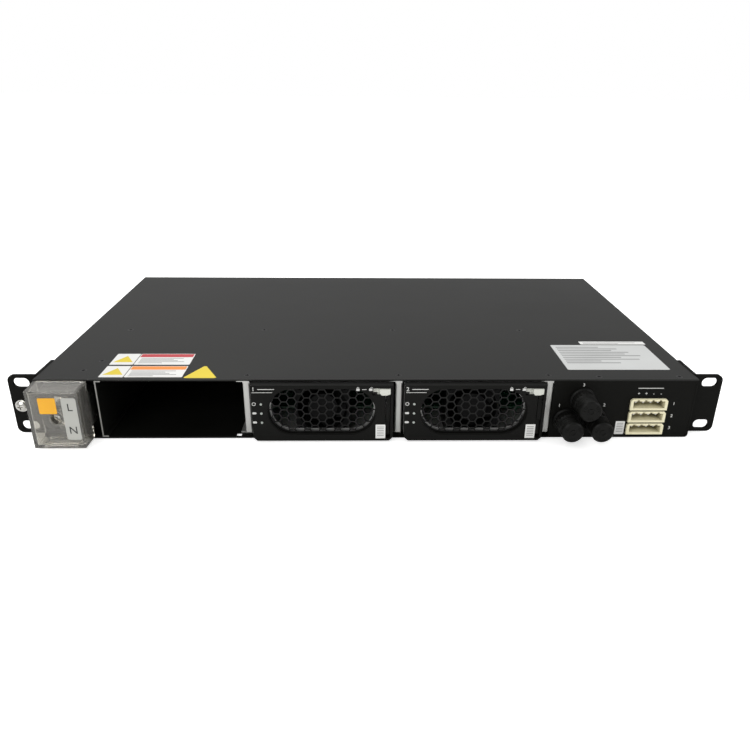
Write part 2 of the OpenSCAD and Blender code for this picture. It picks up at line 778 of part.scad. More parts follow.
// Blind-mating connectors, one for each bay: housing with six blades
plug_w = 38;
plug_h = 9;
plug_z = 11.5;
plug_len = 9.5;
blade_pitch = 6;
blade_count = 6;
module bay_connectors() {
    shell = 1.6;
    deep = plug_len + 0.6;
    color(dark) for (b = [1 : 3]) translate([bay_x(b), front + bay_depth, plug_z]) {
        difference() {
            translate([0, -deep - 2, 0]) upright(deep + 2)
                square([plug_w + 2 * shell + 2 * run, plug_h + 2 * shell + 2 * run], center = true);
            translate([0, -deep - 3, 0]) upright(deep + 1)
                square([plug_w + 2 * run, plug_h + 2 * run], center = true);
        }
        for (j = [0 : blade_count - 1])
            translate([(j - (blade_count - 1) / 2) * blade_pitch - 0.4, -deep + 1.5, -2.5])
                cube([0.8, deep - 1.6, 5]);
    }
}

// Copper bars from the backplane's right end forward to the output board
bar_t = 2;
bar_h = 12;
bar_hole_d = 3.2;
module busbars() {
    len = bay_depth - output_board_y - board_t;
    color(copper) for (j = [0, 1])
        translate([socket_mid - bar_t / 2 + j * (bar_h + bar_t), front + output_board_y + board_t,
            rail_z0 + 2]) difference() {
                cube([bar_t, len, bar_h]);
                for (y = [8, len - 8]) translate([-bar_t / 2, y, bar_h / 2])
                    rotate([0, 90, 0]) cylinder(d = bar_hole_d, h = 2 * bar_t);
            }
}

// ---------- Rectifier module ----------

module_w = bay_pitch - divider_w - 2 * module_gap;
module_len = bay_depth - plug_reach;
casing_z0 = sheet_t + divider_t + module_lift;
casing_z1 = roof - divider_t - module_lift;
casing_h = casing_z1 - casing_z0;
casing_y = 0.5;
bezel_h = chassis_h - bezel_drop - bezel_foot;
bezel_back = 0.2;
grille_w = module_w - 2 * grille_side;
grille_h = bezel_h - 2 * grille_edge;
grille_z = bezel_foot + bezel_h / 2 + 1.05;
fan_fit = 0.5;
fan_size = casing_h - 2 * casing_t - 2 * fan_fit;
fan_z = casing_z0 + casing_h / 2;
fan_bore = fan_size - 2.4;
notch_x = lever_x - 0.4;
knob_x = module_w / 2 - bezel_wall - play - knob_w;
knob_z = bezel_foot + bezel_h - 2.4 - knob_h;
lever_drop = 0.9;
lever_top = knob_z - lever_drop;
strip_h = 3.2;
strip_w = latch_travel + 0.6;
slot_lip = 0.3;
collar_t = 1;
nose_reach = 4.6;

// Bezel: moulded front with a collar round the grille, a latch window and a lever notch
module bezel(m) {
    w = module_w;
    d = bezel_out - bezel_back;
    c = bezel_chamfer;
    window_w = knob_w + strip_w + 2 * slot_lip;
    color(dark) translate([module_x(m), front - bezel_out, bezel_foot]) difference() {
        union() {
            difference() {
                upright(d) bezel_outline(w, bezel_h, c);
                translate([0, bezel_wall, bezel_wall]) upright(d)
                    bezel_outline(w - 2 * bezel_wall, bezel_h - 2 * bezel_wall, c);
            }
            translate([grille_shift, 0, grille_z - bezel_foot]) upright(grille_recess - 0.05)
                obround(grille_w + 2 * collar_t, grille_h + 2 * collar_t);
            translate([notch_x - 2.6, bezel_wall - 0.1, 0]) cube([2.2, d - bezel_wall + 0.1, 12]);
        }
        translate([grille_shift, -1, grille_z - bezel_foot]) upright(d + 2) obround(grille_w, grille_h);
        translate([grille_shift, -0.01, grille_z - bezel_foot]) upright(0.7)
            obround(grille_w + 1, grille_h + 1);
        translate([knob_x - strip_w - slot_lip, -1, knob_z - slot_lip - bezel_foot])
            cube([window_w, bezel_wall + 2, knob_h + 2 * slot_lip]);
        translate([notch_x, -1, bezel_wall])
            cube([lever_w + 0.75, d + 2, lever_top + 0.5 - bezel_foot - bezel_wall]);
        translate([notch_x - 5, -bezel_out * -0.5, lever_pivot])
            rotate([0, 90, 0]) cylinder(r = pivot_r + run, h = 8);
        for (k = [0 : 2]) translate([light_x, -1, light_z - bezel_foot - k * light_pitch])
            rod_y(light_d + 2 * play, bezel_wall + 2);
        translate([-w / 2 - 0.01, -0.01, bezel_h - 0.6]) rotate([45, 0, 0])
            translate([0, -2, 0]) cube([w + 1, 2, 0.01]);
    }
}
module bezel_outline(w, h, c) {
    polygon([[-w / 2, c], [-w / 2 + c, 0], [w / 2 - c, 0], [w / 2, c], [w / 2, h], [-w / 2, h]]);
}

// Casing: folded tray with a front wall for the fan and vents at the rear
module casing(m) {
    color(zinc) translate([module_x(m), front + casing_y, casing_z0]) difference() {
        translate([-module_w / 2, 0, 0]) cube([module_w, module_len, casing_h - casing_t]);
        translate([-module_w / 2 + casing_t, casing_t, casing_t])
            cube([module_w - 2 * casing_t, module_len - 2 * casing_t, casing_h]);
        translate([grille_shift, -1, grille_z - casing_z0]) upright(casing_t + 2)
            obround(grille_w - 2, grille_h - 2);
        translate([lever_x - 0.45, -1, -1]) cube([lever_w + 0.9, 8, 12.5]);
        for (k = [0 : 12]) translate([(k - 6) * 6, module_len - casing_t - 1, casing_h * 0.68])
            upright(casing_t + 2) rotate(90) obround(14, 3);
        translate([0, module_len - casing_t - 1, plug_z - casing_z0]) upright(casing_t + 2)
            square([plug_w + 0.2, plug_h + 0.2], center = true);
        for (f = [0.19, 0.51, 0.84], x = [-1, 1])
            translate([x * module_w / 2, f * module_len, casing_h - 4])
                rotate([0, 90, 0]) cylinder(d = 2.4, h = 4, center = true);
    }
}
module lid(m) {
    color(zinc) translate([module_x(m), front + casing_y, casing_z1 - casing_t]) {
        translate([-module_w / 2, 0, 0]) cube([module_w, module_len, casing_t]);
        for (s = [-1, 1])
            translate([s * (module_w / 2 - casing_t * 1.5 - 0.1) - casing_t / 2, 8, -6])
                cube([casing_t, module_len - 16, 6.1]);
    }
}

// Mesh of six-sided cells over the whole grille, clipped to its outline
module grille(m) {
    rim = collar_t;
    cols = ceil(grille_w / 2 / (hex_pitch * cos(30))) + 1;
    rows = ceil(grille_h / 2 / hex_pitch) + 1;
    cell_r = (hex_pitch - hex_web) / 2 / cos(30);
    color(black) translate([module_x(m) + grille_shift, front - bezel_out + grille_recess, grille_z])
        upright(grille_t) union() {
            difference() {
                obround(grille_w + 2 * rim, grille_h + 2 * rim);
                intersection() {
                    obround(grille_w - 0.6, grille_h - 0.6);
                    union() for (i = [-cols : cols], j = [-rows : rows])
                        translate([i * hex_pitch * cos(30), (j + (i % 2 == 0 ? 0 : 0.5)) * hex_pitch])
                            circle(r = cell_r, $fn = 6);
                }
            }
        }
}

// Fan: square frame with a round duct and struts, and the bladed rotor inside it
strut_t = 2;
motor_d = hub_d;
module fan_frame(m) {
    h = fan_size / 2;
    color(dark) translate([module_x(m) + grille_shift, front + casing_y + casing_t + 0.1, fan_z])
        difference() {
            union() {
                difference() {
                    translate([-h, 0, -h]) cube([fan_size, fan_len, fan_size]);
                    translate([0, -1, 0]) rod_y(fan_bore, fan_len + 2);
                }
                translate([0, fan_len - strut_t, 0]) {
                    rod_y(motor_d, strut_t);
                    for (a = [35 : 120 : 359]) rotate([0, a, 0]) translate([0, 0, -1])
                        cube([fan_bore / 2 + 0.6, strut_t, 2]);
                }
                translate([0, fan_len - strut_t - 5, 0]) rod_y(5, 6);
            }
            for (x = [-1, 1], z = [-1, 1])
                translate([x * (h - 3), -1, z * (h - 3)]) rod_y(3, fan_len + 2);
        }
}
module fan_rotor(m) {
    len = fan_len - strut_t - 3;
    tip = fan_bore / 2 - 0.7;
    color(dark) translate([module_x(m) + grille_shift, front + casing_y + casing_t + 1.6, fan_z])
        difference() {
            union() {
                rod_y(hub_d, len);
                intersection() {
                    difference() {
                        rod_y(2 * tip, len);
                        translate([0, -1, 0]) rod_y(hub_d - 1, len + 2);
                    }
                    for (k = [0 : blades - 1]) rotate([0, k * 360 / blades, 0])
                        translate([hub_d / 2 - 1, len / 2, 0]) rotate([52, 0, 0])
                            translate([0, -12, -0.6]) cube([tip, 24, 1.2]);
                }
            }
            translate([0, len - 6.5, 0]) rod_y(5.2, 8);
            translate([0, len - 4.5, 0]) rod_y(hub_d - 3, 6);
        }
}

// Latch: knob in the bezel's window on a retaining plate behind it, with a thin strip to its left
module latch(m) {
    plate_t = 0.9;
    plate_y = bezel_wall + run;
    plate_end = module_w / 2 - bezel_wall - run;
    color(cream) translate([module_x(m), front - bezel_out, knob_z]) {
        translate([knob_x, -1, 0]) upright(plate_y + 1.1) polygon([[0, 1.4], [1.2, 0],
            [knob_w - 2.6, 0], [knob_w - 0.1, 0.8], [knob_w - 0.1, knob_h], [0, knob_h]]);
        translate([knob_x - strip_w, plate_y, knob_h - strip_h])
            cube([strip_w + 0.1, plate_t, strip_h]);
        translate([knob_x - 1.6, plate_y, run - lever_drop]) cube([plate_end - knob_x + 1.6, plate_t,
            knob_h + lever_drop - run + 0.2]);
        translate([knob_x - 1.6, plate_y, -1]) cube([3.6, plate_t, 2]);
    }
}

// Ejector lever: bar in the bezel's notch, pivot stub at its foot and a nose over the floor slot
module lever(m) {
    pz = bezel_foot + lever_pivot;
    py = -bezel_out / 2;
    back = 2;
    grip = (lever_top - pz) * 0.62;
    color(dark) translate([module_x(m) + lever_x, front, 0]) {
        difference() {
            union() {
                translate([0, -bezel_out, lever_top - grip]) cube([lever_w, bezel_out + py + back, grip]);
                translate([0, -bezel_out + 1.6, pz])
                    cube([lever_w, bezel_out + py + back - 1.6, lever_top - pz]);
                translate([0, py, pz]) rotate([0, 90, 0]) cylinder(r = back, h = lever_w);
            }
            translate([-1, -bezel_out - 2.2, lever_top - 4]) rotate([0, 90, 0])
                cylinder(r = 3, h = lever_w + 2);
        }
        translate([-2, py, pz]) rotate([0, 90, 0]) cylinder(r = pivot_r, h = 2.5);
        rotate([90, 0, 90]) linear_extrude(lever_w)
            polygon([[py, pz - 1.8], [py, pz + 1.5], [nose_reach - 1, sheet_t + 4.4],
                [nose_reach, sheet_t + 3], [nose_reach, sheet_t + 0.4],
                [nose_reach - 2, sheet_t + 0.4], [0, pz - 1.8]]);
    }
}

// Power board with heat sinks, transformer and capacitors
module power_board(m) {
    w = module_w - 2 * casing_t - 6;
    y0 = casing_y + casing_t + fan_len + 4;
    len = module_len + casing_y - y0 - 6;
    top = casing_h - casing_t * 2 - 12;
    translate([module_x(m), front + y0, casing_z0 + casing_t + 3]) {
        color(board_green) translate([-w / 2, 0, 0]) cube([w, len, board_t]);
        color(zinc) for (x = [-1, 1], y = [6, len - 6])
            translate([x * (w / 2 - 5), y, -3]) cylinder(d = 5, h = 3.1);
        color(zinc) for (s = [-1, 1]) translate([s * w * 0.36, 18, board_t - 0.1]) {
            translate([-6, 0, 0]) cube([12, len * 0.62, 2.5]);
            for (k = [-2 : 2]) translate([k * 2.8 - 0.4, 0, 0]) cube([0.8, len * 0.62, top]);
        }
        color(dark) translate([-16, len * 0.45, board_t - 0.1]) cube([32, 34, top - 1]);
        color(black) for (k = [0 : 2]) translate([(k - 1) * 16, len * 0.16, board_t - 0.1])
            cylinder(d = 14, h = top - 2);
    }
}

// Plug at the module's rear: slotted block that slides into the bay connector
module module_plug(m) {
    y1 = bay_depth - 2.6;
    y0 = module_len + casing_y - casing_t - 3;
    color(dark) translate([module_x(m), front, plug_z]) difference() {
        union() {
            translate([0, y0 + 2.2, 0]) upright(y1 - y0 - 2.2) square([plug_w, plug_h], center = true);
            translate([0, y0, 0]) upright(2.3) square([plug_w + 4, plug_h + 1.6], center = true);
        }
        for (j = [0 : blade_count - 1])
            translate([(j - (blade_count - 1) / 2) * blade_pitch, y1 - plug_len + 0.6, 0])
                upright(plug_len) square([0.8 + 2 * run, 5 + 2 * run], center = true);
    }
}

// Three light pipes in the bezel, left of the grille
light_x = -bay_pitch / 2 + divider_w / 2 + module_gap + 6.2;
light_z = 28.4;
light_pitch = 6.8;
light_d = 1.6;
module light_pipes(m) {
    color([0.85, 0.9, 0.85]) for (k = [0 : 2])
        translate([module_x(m) + light_x, front - bezel_out - 0.1, light_z - k * light_pitch])
            rod_y(light_d, bezel_out + casing_y - 0.1);
}

base_tray();
top_cover();
case_screws();
ear(-1);  // ear_left
ear(1);  // ear_right
bay_wall();
partition(1);  // partition_1
partition(2);  // partition_2
partition(3);  // partition_3
input_panel();
terminal_block();
terminal_clamps();
terminal_cover();
terminal_cover_screw();
ground_screw();
output_panel();
fuse_holder(1);  // fuse_holder_1
fuse_holder(2);  // fuse_holder_2
fuse_holder(3);  // fuse_holder_3
fuse_nuts();
fuse_cap(1);  // fuse_cap_1
fuse_cap(2);  // fuse_cap_2
fuse_cap(3);  // fuse_cap_3
fuse_link(1);  // fuse_1
fuse_link(2);  // fuse_2
fuse_link(3);  // fuse_3
dc_socket(1);  // dc_socket_1
dc_socket(2);  // dc_socket_2
dc_socket(3);  // dc_socket_3
socket_pins();
output_board();
backplane();
backplane_screws();
bay_connectors();
busbars();
input_wires();
for (m = [1 : 2]) {
    bezel(m);
    casing(m);
    lid(m);
    grille(m);
    fan_frame(m);
    fan_rotor(m);
    latch(m);
    lever(m);
    power_board(m);
    module_plug(m);
    light_pipes(m);
}
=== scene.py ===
import math

import bmesh
import bpy
from mathutils import Matrix, Vector


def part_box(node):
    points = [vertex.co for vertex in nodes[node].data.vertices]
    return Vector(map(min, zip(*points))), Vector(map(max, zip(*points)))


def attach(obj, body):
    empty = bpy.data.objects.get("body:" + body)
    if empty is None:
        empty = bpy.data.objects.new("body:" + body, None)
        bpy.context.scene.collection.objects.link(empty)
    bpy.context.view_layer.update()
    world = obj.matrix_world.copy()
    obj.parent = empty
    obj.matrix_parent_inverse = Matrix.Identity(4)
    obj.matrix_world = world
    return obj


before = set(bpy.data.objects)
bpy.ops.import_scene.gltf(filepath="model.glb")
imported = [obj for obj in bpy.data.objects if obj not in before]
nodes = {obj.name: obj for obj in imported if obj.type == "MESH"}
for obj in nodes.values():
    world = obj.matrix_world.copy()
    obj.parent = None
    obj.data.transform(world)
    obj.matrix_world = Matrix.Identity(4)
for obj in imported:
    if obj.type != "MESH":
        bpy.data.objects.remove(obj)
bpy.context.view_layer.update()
scene = bpy.context.scene
MM = 0.001
FILM_GAP = 0.01 * MM  # gap under most prints and films
FILM = 0.06  # mm, thickness of a film on the cover, at which the print on it starts
STICKER = 0.05  # mm, thickness of the small white stickers
FIGURE = 2.2  # mm, height of the small printed figures and signs
POLE_PITCH = 5.08  # mm, from one pole of a DC socket to the next
ROOM_LIGHT = 0.55  # strength of the white room on the object
TABLE_GLOW = 0.6  # what the table adds for the camera alone

# ---- The view -----------------------------------------------------------------------------
# The shelf is seen from the front and above, a little left of its middle, by a camera half a
# metre in front of that middle.
eye = Vector((-7.8, -536.8, 223.8)) * MM
look_down, look_aside, roll = map(math.radians, (23.36, -1.55, 0.61))
across = Vector((math.cos(look_aside), math.sin(look_aside), 0))
ahead = Vector((-math.sin(look_aside), math.cos(look_aside), 0)) * math.cos(look_down)
ahead.z = -math.sin(look_down)
upward = across.cross(ahead)
right = across * math.cos(roll) + upward * math.sin(roll)
upward = right.cross(ahead)
lens_data = bpy.data.cameras.new("front_camera")
lens_data.sensor_width = 36
lens_data.lens = 32.4
lens_data.clip_start = 0.01
camera = bpy.data.objects.new("front_camera", lens_data)
scene.collection.objects.link(camera)
camera.matrix_world = Matrix.Translation(eye) @ Matrix((right, upward, -ahead)).transposed().to_4x4()
scene.camera = camera
scene.view_settings.view_transform = "Standard"

# ---- The table and the light --------------------------------------------------------------
# A pale table top under a soft studio: one wide lamp above and behind, one in front, one at the
# right, and a white room, at full strength for the camera and through clear plastic.
room = bpy.data.worlds.new("white_room")
room.use_nodes = True
scene.world = room
room_tree = room.node_tree
backdrop = room_tree.nodes["Background"]
light_path = room_tree.nodes.new("ShaderNodeLightPath")
seen = room_tree.nodes.new("ShaderNodeMath")
seen.operation = "MAXIMUM"
level = room_tree.nodes.new("ShaderNodeMapRange")
level.inputs["To Min"].default_value = ROOM_LIGHT
level.inputs["To Max"].default_value = 1.0
room_tree.links.new(light_path.outputs["Is Camera Ray"], seen.inputs[0])
room_tree.links.new(light_path.outputs["Is Transmission Ray"], seen.inputs[1])
room_tree.links.new(seen.outputs[0], level.inputs["Value"])
room_tree.links.new(level.outputs[0], backdrop.inputs["Strength"])
backdrop.inputs["Color"].default_value = (1, 1, 1, 1)


def soft_lamp(name, place, target, width, height, power):
    data = bpy.data.lights.new(name, "AREA")
    data.shape = "RECTANGLE"
    data.size = width
    data.size_y = height
    data.energy = power
    lamp = bpy.data.objects.new(name, data)
    scene.collection.objects.link(lamp)
    lamp.location = place
    lamp.rotation_euler = (Vector(target) - Vector(place)).to_track_quat("-Z", "Y").to_euler()


soft_lamp("lamp_above", (-0.35, 0.35, 1.15), (0, 0, 0), 1.0, 0.7, 9)
soft_lamp("lamp_front", (-0.5, -1.1, 0.75), (0, -0.1, 0), 0.8, 0.5, 7)
soft_lamp("lamp_right", (1.1, -0.5, 0.6), (0, -0.1, 0), 0.5, 0.5, 3)

table_top = bpy.data.meshes.new("table_top")
reach = 12
table_top.from_pydata([(x * reach, y * reach, -0.0006) for x, y in ((-1, -1), (1, -1), (1, 1), (-1, 1))],
                      [], [(0, 1, 2, 3)])
table = bpy.data.objects.new("table_top", table_top)
scene.collection.objects.link(table)
pale = bpy.data.materials.new("pale_table")
pale.use_nodes = True
tree = pale.node_tree
base = tree.nodes["Principled BSDF"]
base.inputs["Roughness"].default_value = 0.9
base.inputs["Specular IOR Level"].default_value = 0.1
speckle = tree.nodes.new("ShaderNodeTexNoise")
speckle.inputs["Scale"].default_value = 40
tint = tree.nodes.new("ShaderNodeValToRGB")
tint.color_ramp.elements[0].color = (0.86, 0.86, 0.855, 1)
tint.color_ramp.elements[1].color = (0.9, 0.9, 0.895, 1)
tree.links.new(speckle.outputs["Fac"], tint.inputs["Fac"])
tree.links.new(tint.outputs["Color"], base.inputs["Base Color"])
glow = tree.nodes.new("ShaderNodeEmission")
rays = tree.nodes.new("ShaderNodeLightPath")
lift = tree.nodes.new("ShaderNodeMath")
lift.operation = "MULTIPLY"
lift.inputs[1].default_value = TABLE_GLOW
tree.links.new(rays.outputs["Is Camera Ray"], lift.inputs[0])
tree.links.new(lift.outputs[0], glow.inputs["Strength"])
both = tree.nodes.new("ShaderNodeAddShader")
tree.links.new(base.outputs[0], both.inputs[0])
tree.links.new(glow.outputs[0], both.inputs[1])
tree.links.new(both.outputs[0], tree.nodes["Material Output"].inputs["Surface"])
table_top.materials.append(pale)

# ---- Chassis, cover and ears --------------------------------------------------------------
# Folded sheet steel with a fine black powder coat: dense grain and slightly uneven gloss.


def grained(name, dark_tone, light_tone, rough, grain, depth, metal=0.0, rounding=0.0, shine=0.5):
    """Finish with fine cloudy colour, a bumpy grain and softly rounded edges."""
    mat = bpy.data.materials.new(name)
    mat.use_nodes = True
    t = mat.node_tree
    skin = t.nodes["Principled BSDF"]
    skin.inputs["Metallic"].default_value = metal
    skin.inputs["Specular IOR Level"].default_value = shine
    place = t.nodes.new("ShaderNodeTexCoord")
    cloud = t.nodes.new("ShaderNodeTexNoise")
    cloud.inputs["Scale"].default_value = 14
    cloud.inputs["Detail"].default_value = 5
    t.links.new(place.outputs["Object"], cloud.inputs["Vector"])
    tone = t.nodes.new("ShaderNodeValToRGB")
    tone.color_ramp.elements[0].position = 0.3
    tone.color_ramp.elements[1].position = 0.72
    tone.color_ramp.elements[0].color = (*dark_tone, 1)
    tone.color_ramp.elements[1].color = (*light_tone, 1)
    t.links.new(cloud.outputs["Fac"], tone.inputs["Fac"])
    fine = t.nodes.new("ShaderNodeTexNoise")
    fine.inputs["Scale"].default_value = grain
    fine.inputs["Detail"].default_value = 3
    t.links.new(place.outputs["Object"], fine.inputs["Vector"])
    gloss = t.nodes.new("ShaderNodeMapRange")
    gloss.inputs["To Min"].default_value = rough - 0.06
    gloss.inputs["To Max"].default_value = rough + 0.06
    t.links.new(cloud.outputs["Fac"], gloss.inputs["Value"])
    t.links.new(gloss.outputs[0], skin.inputs["Roughness"])
    bump = t.nodes.new("ShaderNodeBump")
    bump.inputs["Strength"].default_value = 0.6
    bump.inputs["Distance"].default_value = depth
    t.links.new(fine.outputs["Fac"], bump.inputs["Height"])
    if rounding:
        soft = t.nodes.new("ShaderNodeBevel")
        soft.samples = 4
        soft.inputs["Radius"].default_value = rounding
        t.links.new(soft.outputs[0], bump.inputs["Normal"])
    t.links.new(bump.outputs[0], skin.inputs["Normal"])
    t.links.new(tone.outputs["Color"], skin.inputs["Base Color"])
    return mat


def dress(mat, *names):
    """Gives CAD nodes their finish."""
    for name in names:
        mesh = nodes[name].data
        mesh.materials.clear()
        mesh.materials.append(mat)
        for face in mesh.polygons:
            face.material_index = 0


powder_black = grained("powder_black", (0.0030, 0.0030, 0.0024), (0.0046, 0.0046, 0.0038), 0.5, 1700,
                       0.00005, rounding=0.0004, shine=0.08)
dress(powder_black, "base_tray", "input_panel", "output_panel", "ear_left", "ear_right")
# The cover gets a lighter copy of the same black coat: painted light, for the top face that looks up at
# the lamps.
lit_powder_top = grained("lit_powder_top", (0.0095, 0.0096, 0.0088), (0.0135, 0.0136, 0.0126), 0.42, 1500,
                     0.00005, rounding=0.0004, shine=0.2)
dress(lit_powder_top, "top_cover")

# The bay's left wall is painted too, but its cut front edge was left bare and shows zinc.
cut_edge = grained("cut_edge", (0.0042, 0.0042, 0.0034), (0.0065, 0.0065, 0.0055), 0.5, 1700, 0.00005,
                   shine=0.2)
t = cut_edge.node_tree
where = t.nodes.new("ShaderNodeSeparateXYZ")
t.links.new(t.nodes["Texture Coordinate"].outputs["Object"], where.inputs[0])
at_front = t.nodes.new("ShaderNodeMath")
at_front.operation = "LESS_THAN"
at_front.inputs[1].default_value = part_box("bay_wall")[0].y + 0.3 * MM
t.links.new(where.outputs["Y"], at_front.inputs[0])
bare = t.nodes.new("ShaderNodeMix")
bare.data_type = "RGBA"
t.links.new(at_front.outputs[0], bare.inputs["Factor"])
t.links.new(t.nodes["Color Ramp"].outputs["Color"], bare.inputs["A"])
bare.inputs["B"].default_value = (0.3, 0.3, 0.28, 1)
t.links.new(bare.outputs["Result"], t.nodes["Principled BSDF"].inputs["Base Color"])
dress(cut_edge, "bay_wall")

# ---- Case screws and ground screw ---------------------------------------------------------
# Black zinc countersunk screws hold cover, dividers and ears. The ground screw on the left ear
# is nickel plated and brighter.
black_zinc = grained("black_zinc", (0.012, 0.012, 0.012), (0.02, 0.02, 0.02), 0.32, 900, 0.00002,
                     metal=0.7)
dress(black_zinc, "case_screws")
nickel = grained("nickel", (0.55, 0.54, 0.51), (0.7, 0.69, 0.66), 0.28, 600, 0.00002, metal=1.0,
                 rounding=0.0002)
dress(nickel, "ground_screw", "backplane_screws", "terminal_cover_screw", "terminal_clamps",
      "socket_pins")

# ---- Bay dividers -------------------------------------------------------------------------
# Zinc plated sheet, cut and folded; the narrow front bar of each divider is the brightest
# metal on the shelf.


def rolled_zinc(name, low, high, rough):
    """Zinc plate with faint rolling lines that run up the sheet."""
    mat = grained(name, low, high, rough, 500, 0.00002, metal=0.85, rounding=0.0003)
    t = mat.node_tree
    skin = t.nodes["Principled BSDF"]
    place = t.nodes["Texture Coordinate"]
    squeeze = t.nodes.new("ShaderNodeMapping")
    squeeze.inputs["Scale"].default_value = (1400, 1400, 30)
    t.links.new(place.outputs["Object"], squeeze.inputs["Vector"])
    lines = t.nodes.new("ShaderNodeTexNoise")
    lines.inputs["Scale"].default_value = 1
    t.links.new(squeeze.outputs[0], lines.inputs["Vector"])
    bump = t.nodes.new("ShaderNodeBump")
    bump.inputs["Strength"].default_value = 0.25
    bump.inputs["Distance"].default_value = 0.00003
    t.links.new(lines.outputs["Fac"], bump.inputs["Height"])
    t.links.new(t.nodes["Bump"].outputs[0], bump.inputs["Normal"])
    t.links.new(bump.outputs[0], skin.inputs["Normal"])
    return mat


bright_zinc = rolled_zinc("bright_zinc", (0.44, 0.44, 0.42), (0.58, 0.58, 0.56), 0.42)
dress(bright_zinc, "partition_1", "partition_2", "partition_3")

# ---- Backplane, bay connectors and busbars ------------------------------------------------
# A long circuit board closes the bays' lower rear. Each bay has a black blind-mating connector
# on it, and two copper bars carry the output forward.
solder_mask = grained("solder_mask", (0.008, 0.045, 0.02), (0.012, 0.065, 0.03), 0.35, 260, 0.00003)
dress(solder_mask, "backplane", "output_board", "power_board_1", "power_board_2")
moulded_black = grained("moulded_black", (0.006, 0.006, 0.0055), (0.01, 0.01, 0.009), 0.42, 1200,
                        0.00003, rounding=0.00025, shine=0.25)
dress(moulded_black, "bay_connectors", "module_plug_1", "module_plug_2", "fuse_nuts")
bar_copper = grained("bar_copper", (0.55, 0.27, 0.14), (0.68, 0.36, 0.2), 0.34, 400, 0.00002, metal=1.0)
dress(bar_copper, "busbars")
wire_jacket = grained("wire_jacket", (0.02, 0.022, 0.03), (0.03, 0.032, 0.045), 0.4, 700, 0.00002)
dress(wire_jacket, "input_wires")

# ---- Terminal block -----------------------------------------------------------------------
# Dark moulded block in the recess at the left, with a metal clamp in each of its two pockets.
block_plastic = grained("block_plastic", (0.014, 0.014, 0.012), (0.03, 0.029, 0.026), 0.5, 900,
                        0.00004, rounding=0.0003, shine=0.3)
dress(block_plastic, "terminal_block")

# ---- Clear terminal cover -----------------------------------------------------------------
# Moulded polycarbonate box, faintly grey, with a plain orange square and a light strip that
# carries the two conductor letters. One screw in a cup holds it.
clear = bpy.data.materials.new("clear_polycarbonate")
clear.use_nodes = True
t = clear.node_tree
skin = t.nodes["Principled BSDF"]
skin.inputs["Transmission Weight"].default_value = 0.93
skin.inputs["IOR"].default_value = 1.45
place = t.nodes.new("ShaderNodeTexCoord")
haze = t.nodes.new("ShaderNodeTexNoise")
haze.inputs["Scale"].default_value = 60
haze.inputs["Detail"].default_value = 4
t.links.new(place.outputs["Object"], haze.inputs["Vector"])
dull = t.nodes.new("ShaderNodeMapRange")
dull.inputs["To Min"].default_value = 0.02
dull.inputs["To Max"].default_value = 0.09
t.links.new(haze.outputs["Fac"], dull.inputs["Value"])
t.links.new(dull.outputs[0], skin.inputs["Roughness"])
milk = t.nodes.new("ShaderNodeValToRGB")
milk.color_ramp.elements[0].color = (0.84, 0.82, 0.75, 1)
milk.color_ramp.elements[1].color = (0.93, 0.91, 0.86, 1)
t.links.new(haze.outputs["Fac"], milk.inputs["Fac"])
t.links.new(milk.outputs["Color"], skin.inputs["Base Color"])
soft = t.nodes.new("ShaderNodeBevel")
soft.inputs["Radius"].default_value = 0.0006
t.links.new(soft.outputs[0], skin.inputs["Normal"])
dress(clear, "terminal_cover")


def corner_loop(width, height, corner, steps=5):
    """Points round a rectangle about its middle, corners rounded."""
    points = []
    for k, (sx, sy) in enumerate(((1, 1), (-1, 1), (-1, -1), (1, -1))):
        for n in range(steps + 1):
            a = math.radians(90 * k + 90 * n / steps)
            points.append((sx * (width / 2 - corner) + corner * math.cos(a),
                           sy * (height / 2 - corner) + corner * math.sin(a)))
    return points


def flat_shapes(name, loops, place, thick, facing, mat, body):
    """Thin solid pieces from outlines in mm. facing is front or up; place is their origin."""
    bm = bmesh.new()
    for loop in loops:
        low, high = [], []
        for x, y in loop:
            if facing == "front":
                low.append(bm.verts.new((x * MM, 0, y * MM)))
                high.append(bm.verts.new((x * MM, -thick * MM, y * MM)))
            else:
                low.append(bm.verts.new((x * MM, y * MM, 0)))
                high.append(bm.verts.new((x * MM, y * MM, thick * MM)))
        count = len(loop)
        bm.faces.new(low[::-1])
        bm.faces.new(high)
        for k in range(count):
            bm.faces.new((low[k], low[(k + 1) % count], high[(k + 1) % count], high[k]))
    bmesh.ops.recalc_face_normals(bm, faces=bm.faces)
    bmesh.ops.translate(bm, verts=bm.verts, vec=place)
    mesh = bpy.data.meshes.new(name)
    bm.to_mesh(mesh)
    bm.free()
    mesh.materials.append(mat)
    piece = bpy.data.objects.new(name, mesh)
    scene.collection.objects.link(piece)
    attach(piece, body)


def shifted(loop, x, y):
    return [(px + x, py + y) for px, py in loop]


def label_stock(name, low, high, rough=0.5):
    """Printed film: even colour with faint fibre and a slightly dull face."""
    return grained(name, low, high, rough, 350, 0.00001)


def letter(name, text, size, place, mat, body):
    """One raised sign that faces front, size in mm to its cap height, placed by its middle."""
    cap_share = 0.7
    thick = 0.04
    curve = bpy.data.curves.new(name, "FONT")
    curve.body = text
    curve.size = size * MM / cap_share
    curve.extrude = thick * MM / 2
    curve.offset = 0.00004
    curve.align_x = "CENTER"
    curve.align_y = "CENTER"
    curve.resolution_u = 3
    maker = bpy.data.objects.new(name, curve)
    scene.collection.objects.link(maker)
    bpy.context.view_layer.update()
    mesh = bpy.data.meshes.new_from_object(maker.evaluated_get(bpy.context.evaluated_depsgraph_get()))
    bpy.data.objects.remove(maker)
    mesh.name = name
    mesh.transform(Matrix.Translation(place) @ Matrix.Rotation(math.pi / 2, 4, "X"))
    mesh.materials.clear()
    mesh.materials.append(mat)
    piece = bpy.data.objects.new(name, mesh)
    scene.collection.objects.link(piece)
    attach(piece, body)


